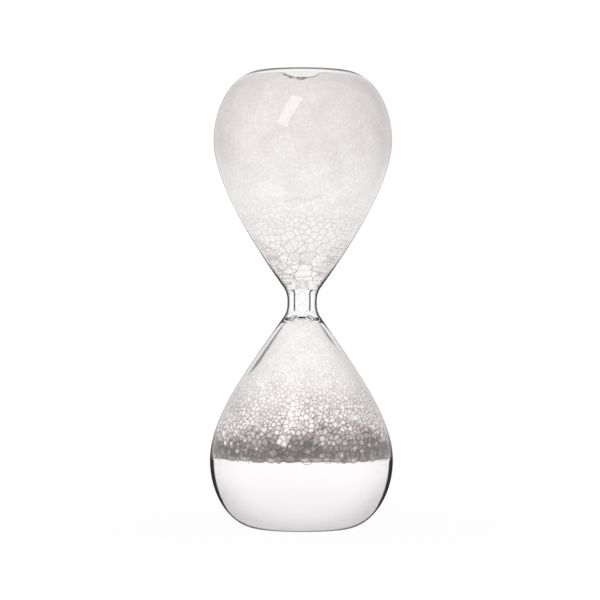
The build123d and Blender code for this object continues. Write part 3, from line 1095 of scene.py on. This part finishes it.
seeds, sizes = seed_rows(length_at(RAFT_FROM), length_at(RAFT_TO), raft_cell, depth=0.45, jitter=0.22)
sizes = sizes * chance.uniform(0.8, 1.25, len(sizes))
points, faces = pressed_bubbles(seeds, sizes, power=7, rings=5, columns=10)
add_piece("raft_bubbles", points, faces, wet_film, "vessel", ["bubble_raft"])
print("Raft of", len(seeds), "bubbles")

# %% [markdown]
# ## Large dry bubbles
# Over the neck the foam has drained longest and its bubbles have grown. They are seen as a net of dark
# borders, where the last liquid runs down, with clear windows between them that turn milky higher up. The
# net is the same kind of skin as the foam's, and every vertex says how light it is and how much it covers.
# Its lowest rows would lie in the way of the rising bubble, so they are left out.

# %% Skin of the large bubbles
NET_FROM, NET_TO = 79.8, 109.0
NET_SHOWS_FROM, NET_POLE = 81.0, 84.5
NET_ROWS, NET_COLUMNS = 170, 400
NET_OFF_WALL, NET_GROOVE = 0.1, 0.06
NET_BORDER = 0.25
NEST, NEST_R = (8.0, -9.5, 87.0), 5


def funnel_cell(z):
    """Size of the dry bubbles by height."""
    return by_height(z, (79, 6.5), (84, 4.8), (88, 3.9), (92, 2.9), (96, 2.3), (104, 2.1))


def nests(seeds):
    """Where small bubbles crowd between the large ones: one place on the right, and a few by chance."""
    return (np.linalg.norm(seeds - NEST, axis=1) < NEST_R) | (chance.random(len(seeds)) < 0.10)


lengths = np.linspace(length_at(NET_FROM), length_at(NET_TO), NET_ROWS)[:, None]
skin, edge, _, luck = foam_skin(
    lengths,
    NET_COLUMNS,
    funnel_cell,
    lambda z, angle: NET_OFF_WALL + 0 * angle,
    lambda z: NET_GROOVE + 0 * z,
    uneven=0.4,
    crowd=nests,
)
clear_of_bubble = wall_at(lengths)[0][:, 0, 1] > NET_SHOWS_FROM
lengths, skin, edge, luck = (rows[clear_of_bubble] for rows in (lengths, skin, edge, luck))
z = wall_at(lengths)[0][..., 1]
line = 1 - np.clip(edge * funnel_cell(z) / NET_BORDER, 0, 1)
line = line**2 * (3 - 2 * line)
milky = by_height(z, (80, 0.0), (86, 0.03), (92, 0.15), (96, 0.45), (100, 0.92))
border = line * by_height(z, (81, 0.2), (82, 0.92), (90, 0.85), (107, 0.95))
cover = np.maximum(milky + 0.2 * (luck - 0.5), border)
tone = by_height(z, (80, 0.95), (96, 0.95), (101, 0.89), (107, 0.90)) + 0.06 * (luck - 0.5)
tone -= line * by_height(z, (80, 0.90), (88, 0.75), (96, 0.50), (103, 0.14))
print("Borders cover", round(float((line > 0.1).mean()), 2), "of the net")

# %% Large bubbles over the neck
bubble_net, tree, output = new_material("bubble net")
tinted = node(tree, "ShaderNodeGroup", {"Shade": attribute(tree, "tone")}, node_tree=foam_tint)
body = node(tree, "ShaderNodeBsdfPrincipled", {"Base Color": tinted.outputs[0], "Roughness": 0.4})
clear = node(tree, "ShaderNodeBsdfTransparent", {"Color": (1, 1, 1, 1)})
film = node(
    tree, "ShaderNodeMixShader", {0: attribute(tree, "cover"), 1: clear.outputs[0], 2: body.outputs[0]}
)
let_light_in(tree, output, film.outputs[0])
funnel_net = add_piece(
    "funnel_net",
    np.concatenate([skin.reshape(-1, 3), [[0, 0, NET_POLE], [0, 0, UPPER_START + 2]]]),
    capped_faces(len(skin), NET_COLUMNS),
    bubble_net,
    "vessel",
    ["funnel_bubbles"],
)
give(funnel_net, "tone", np.append(tone.ravel(), [0.9, 0.9]))
give(funnel_net, "cover", np.append(np.clip(cover, 0, 1).ravel(), [0, 0]))

# %% [markdown]
# ## Bubbles in the neck
# Air rises through the bore in long bubbles, one after the other. Each is a short tube with round ends
# that leaves a film of liquid along the glass. They ride on their own bodies and move with the joints.

# %% Bubbles in the neck
NECK_COLUMNS = 40

for name in ("lower_neck_bubble", "upper_neck_bubble"):
    low, high = np.array(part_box(name)) / MM
    end = round_end((high[0] - low[0]) / 2)
    profile = np.concatenate([end + [0, low[2]], (end * [1, -1] + [0, high[2]])[::-1]])
    points, faces = revolved(profile, NECK_COLUMNS)
    add_piece(name + "_film", points, faces, neck_film, name, [name])
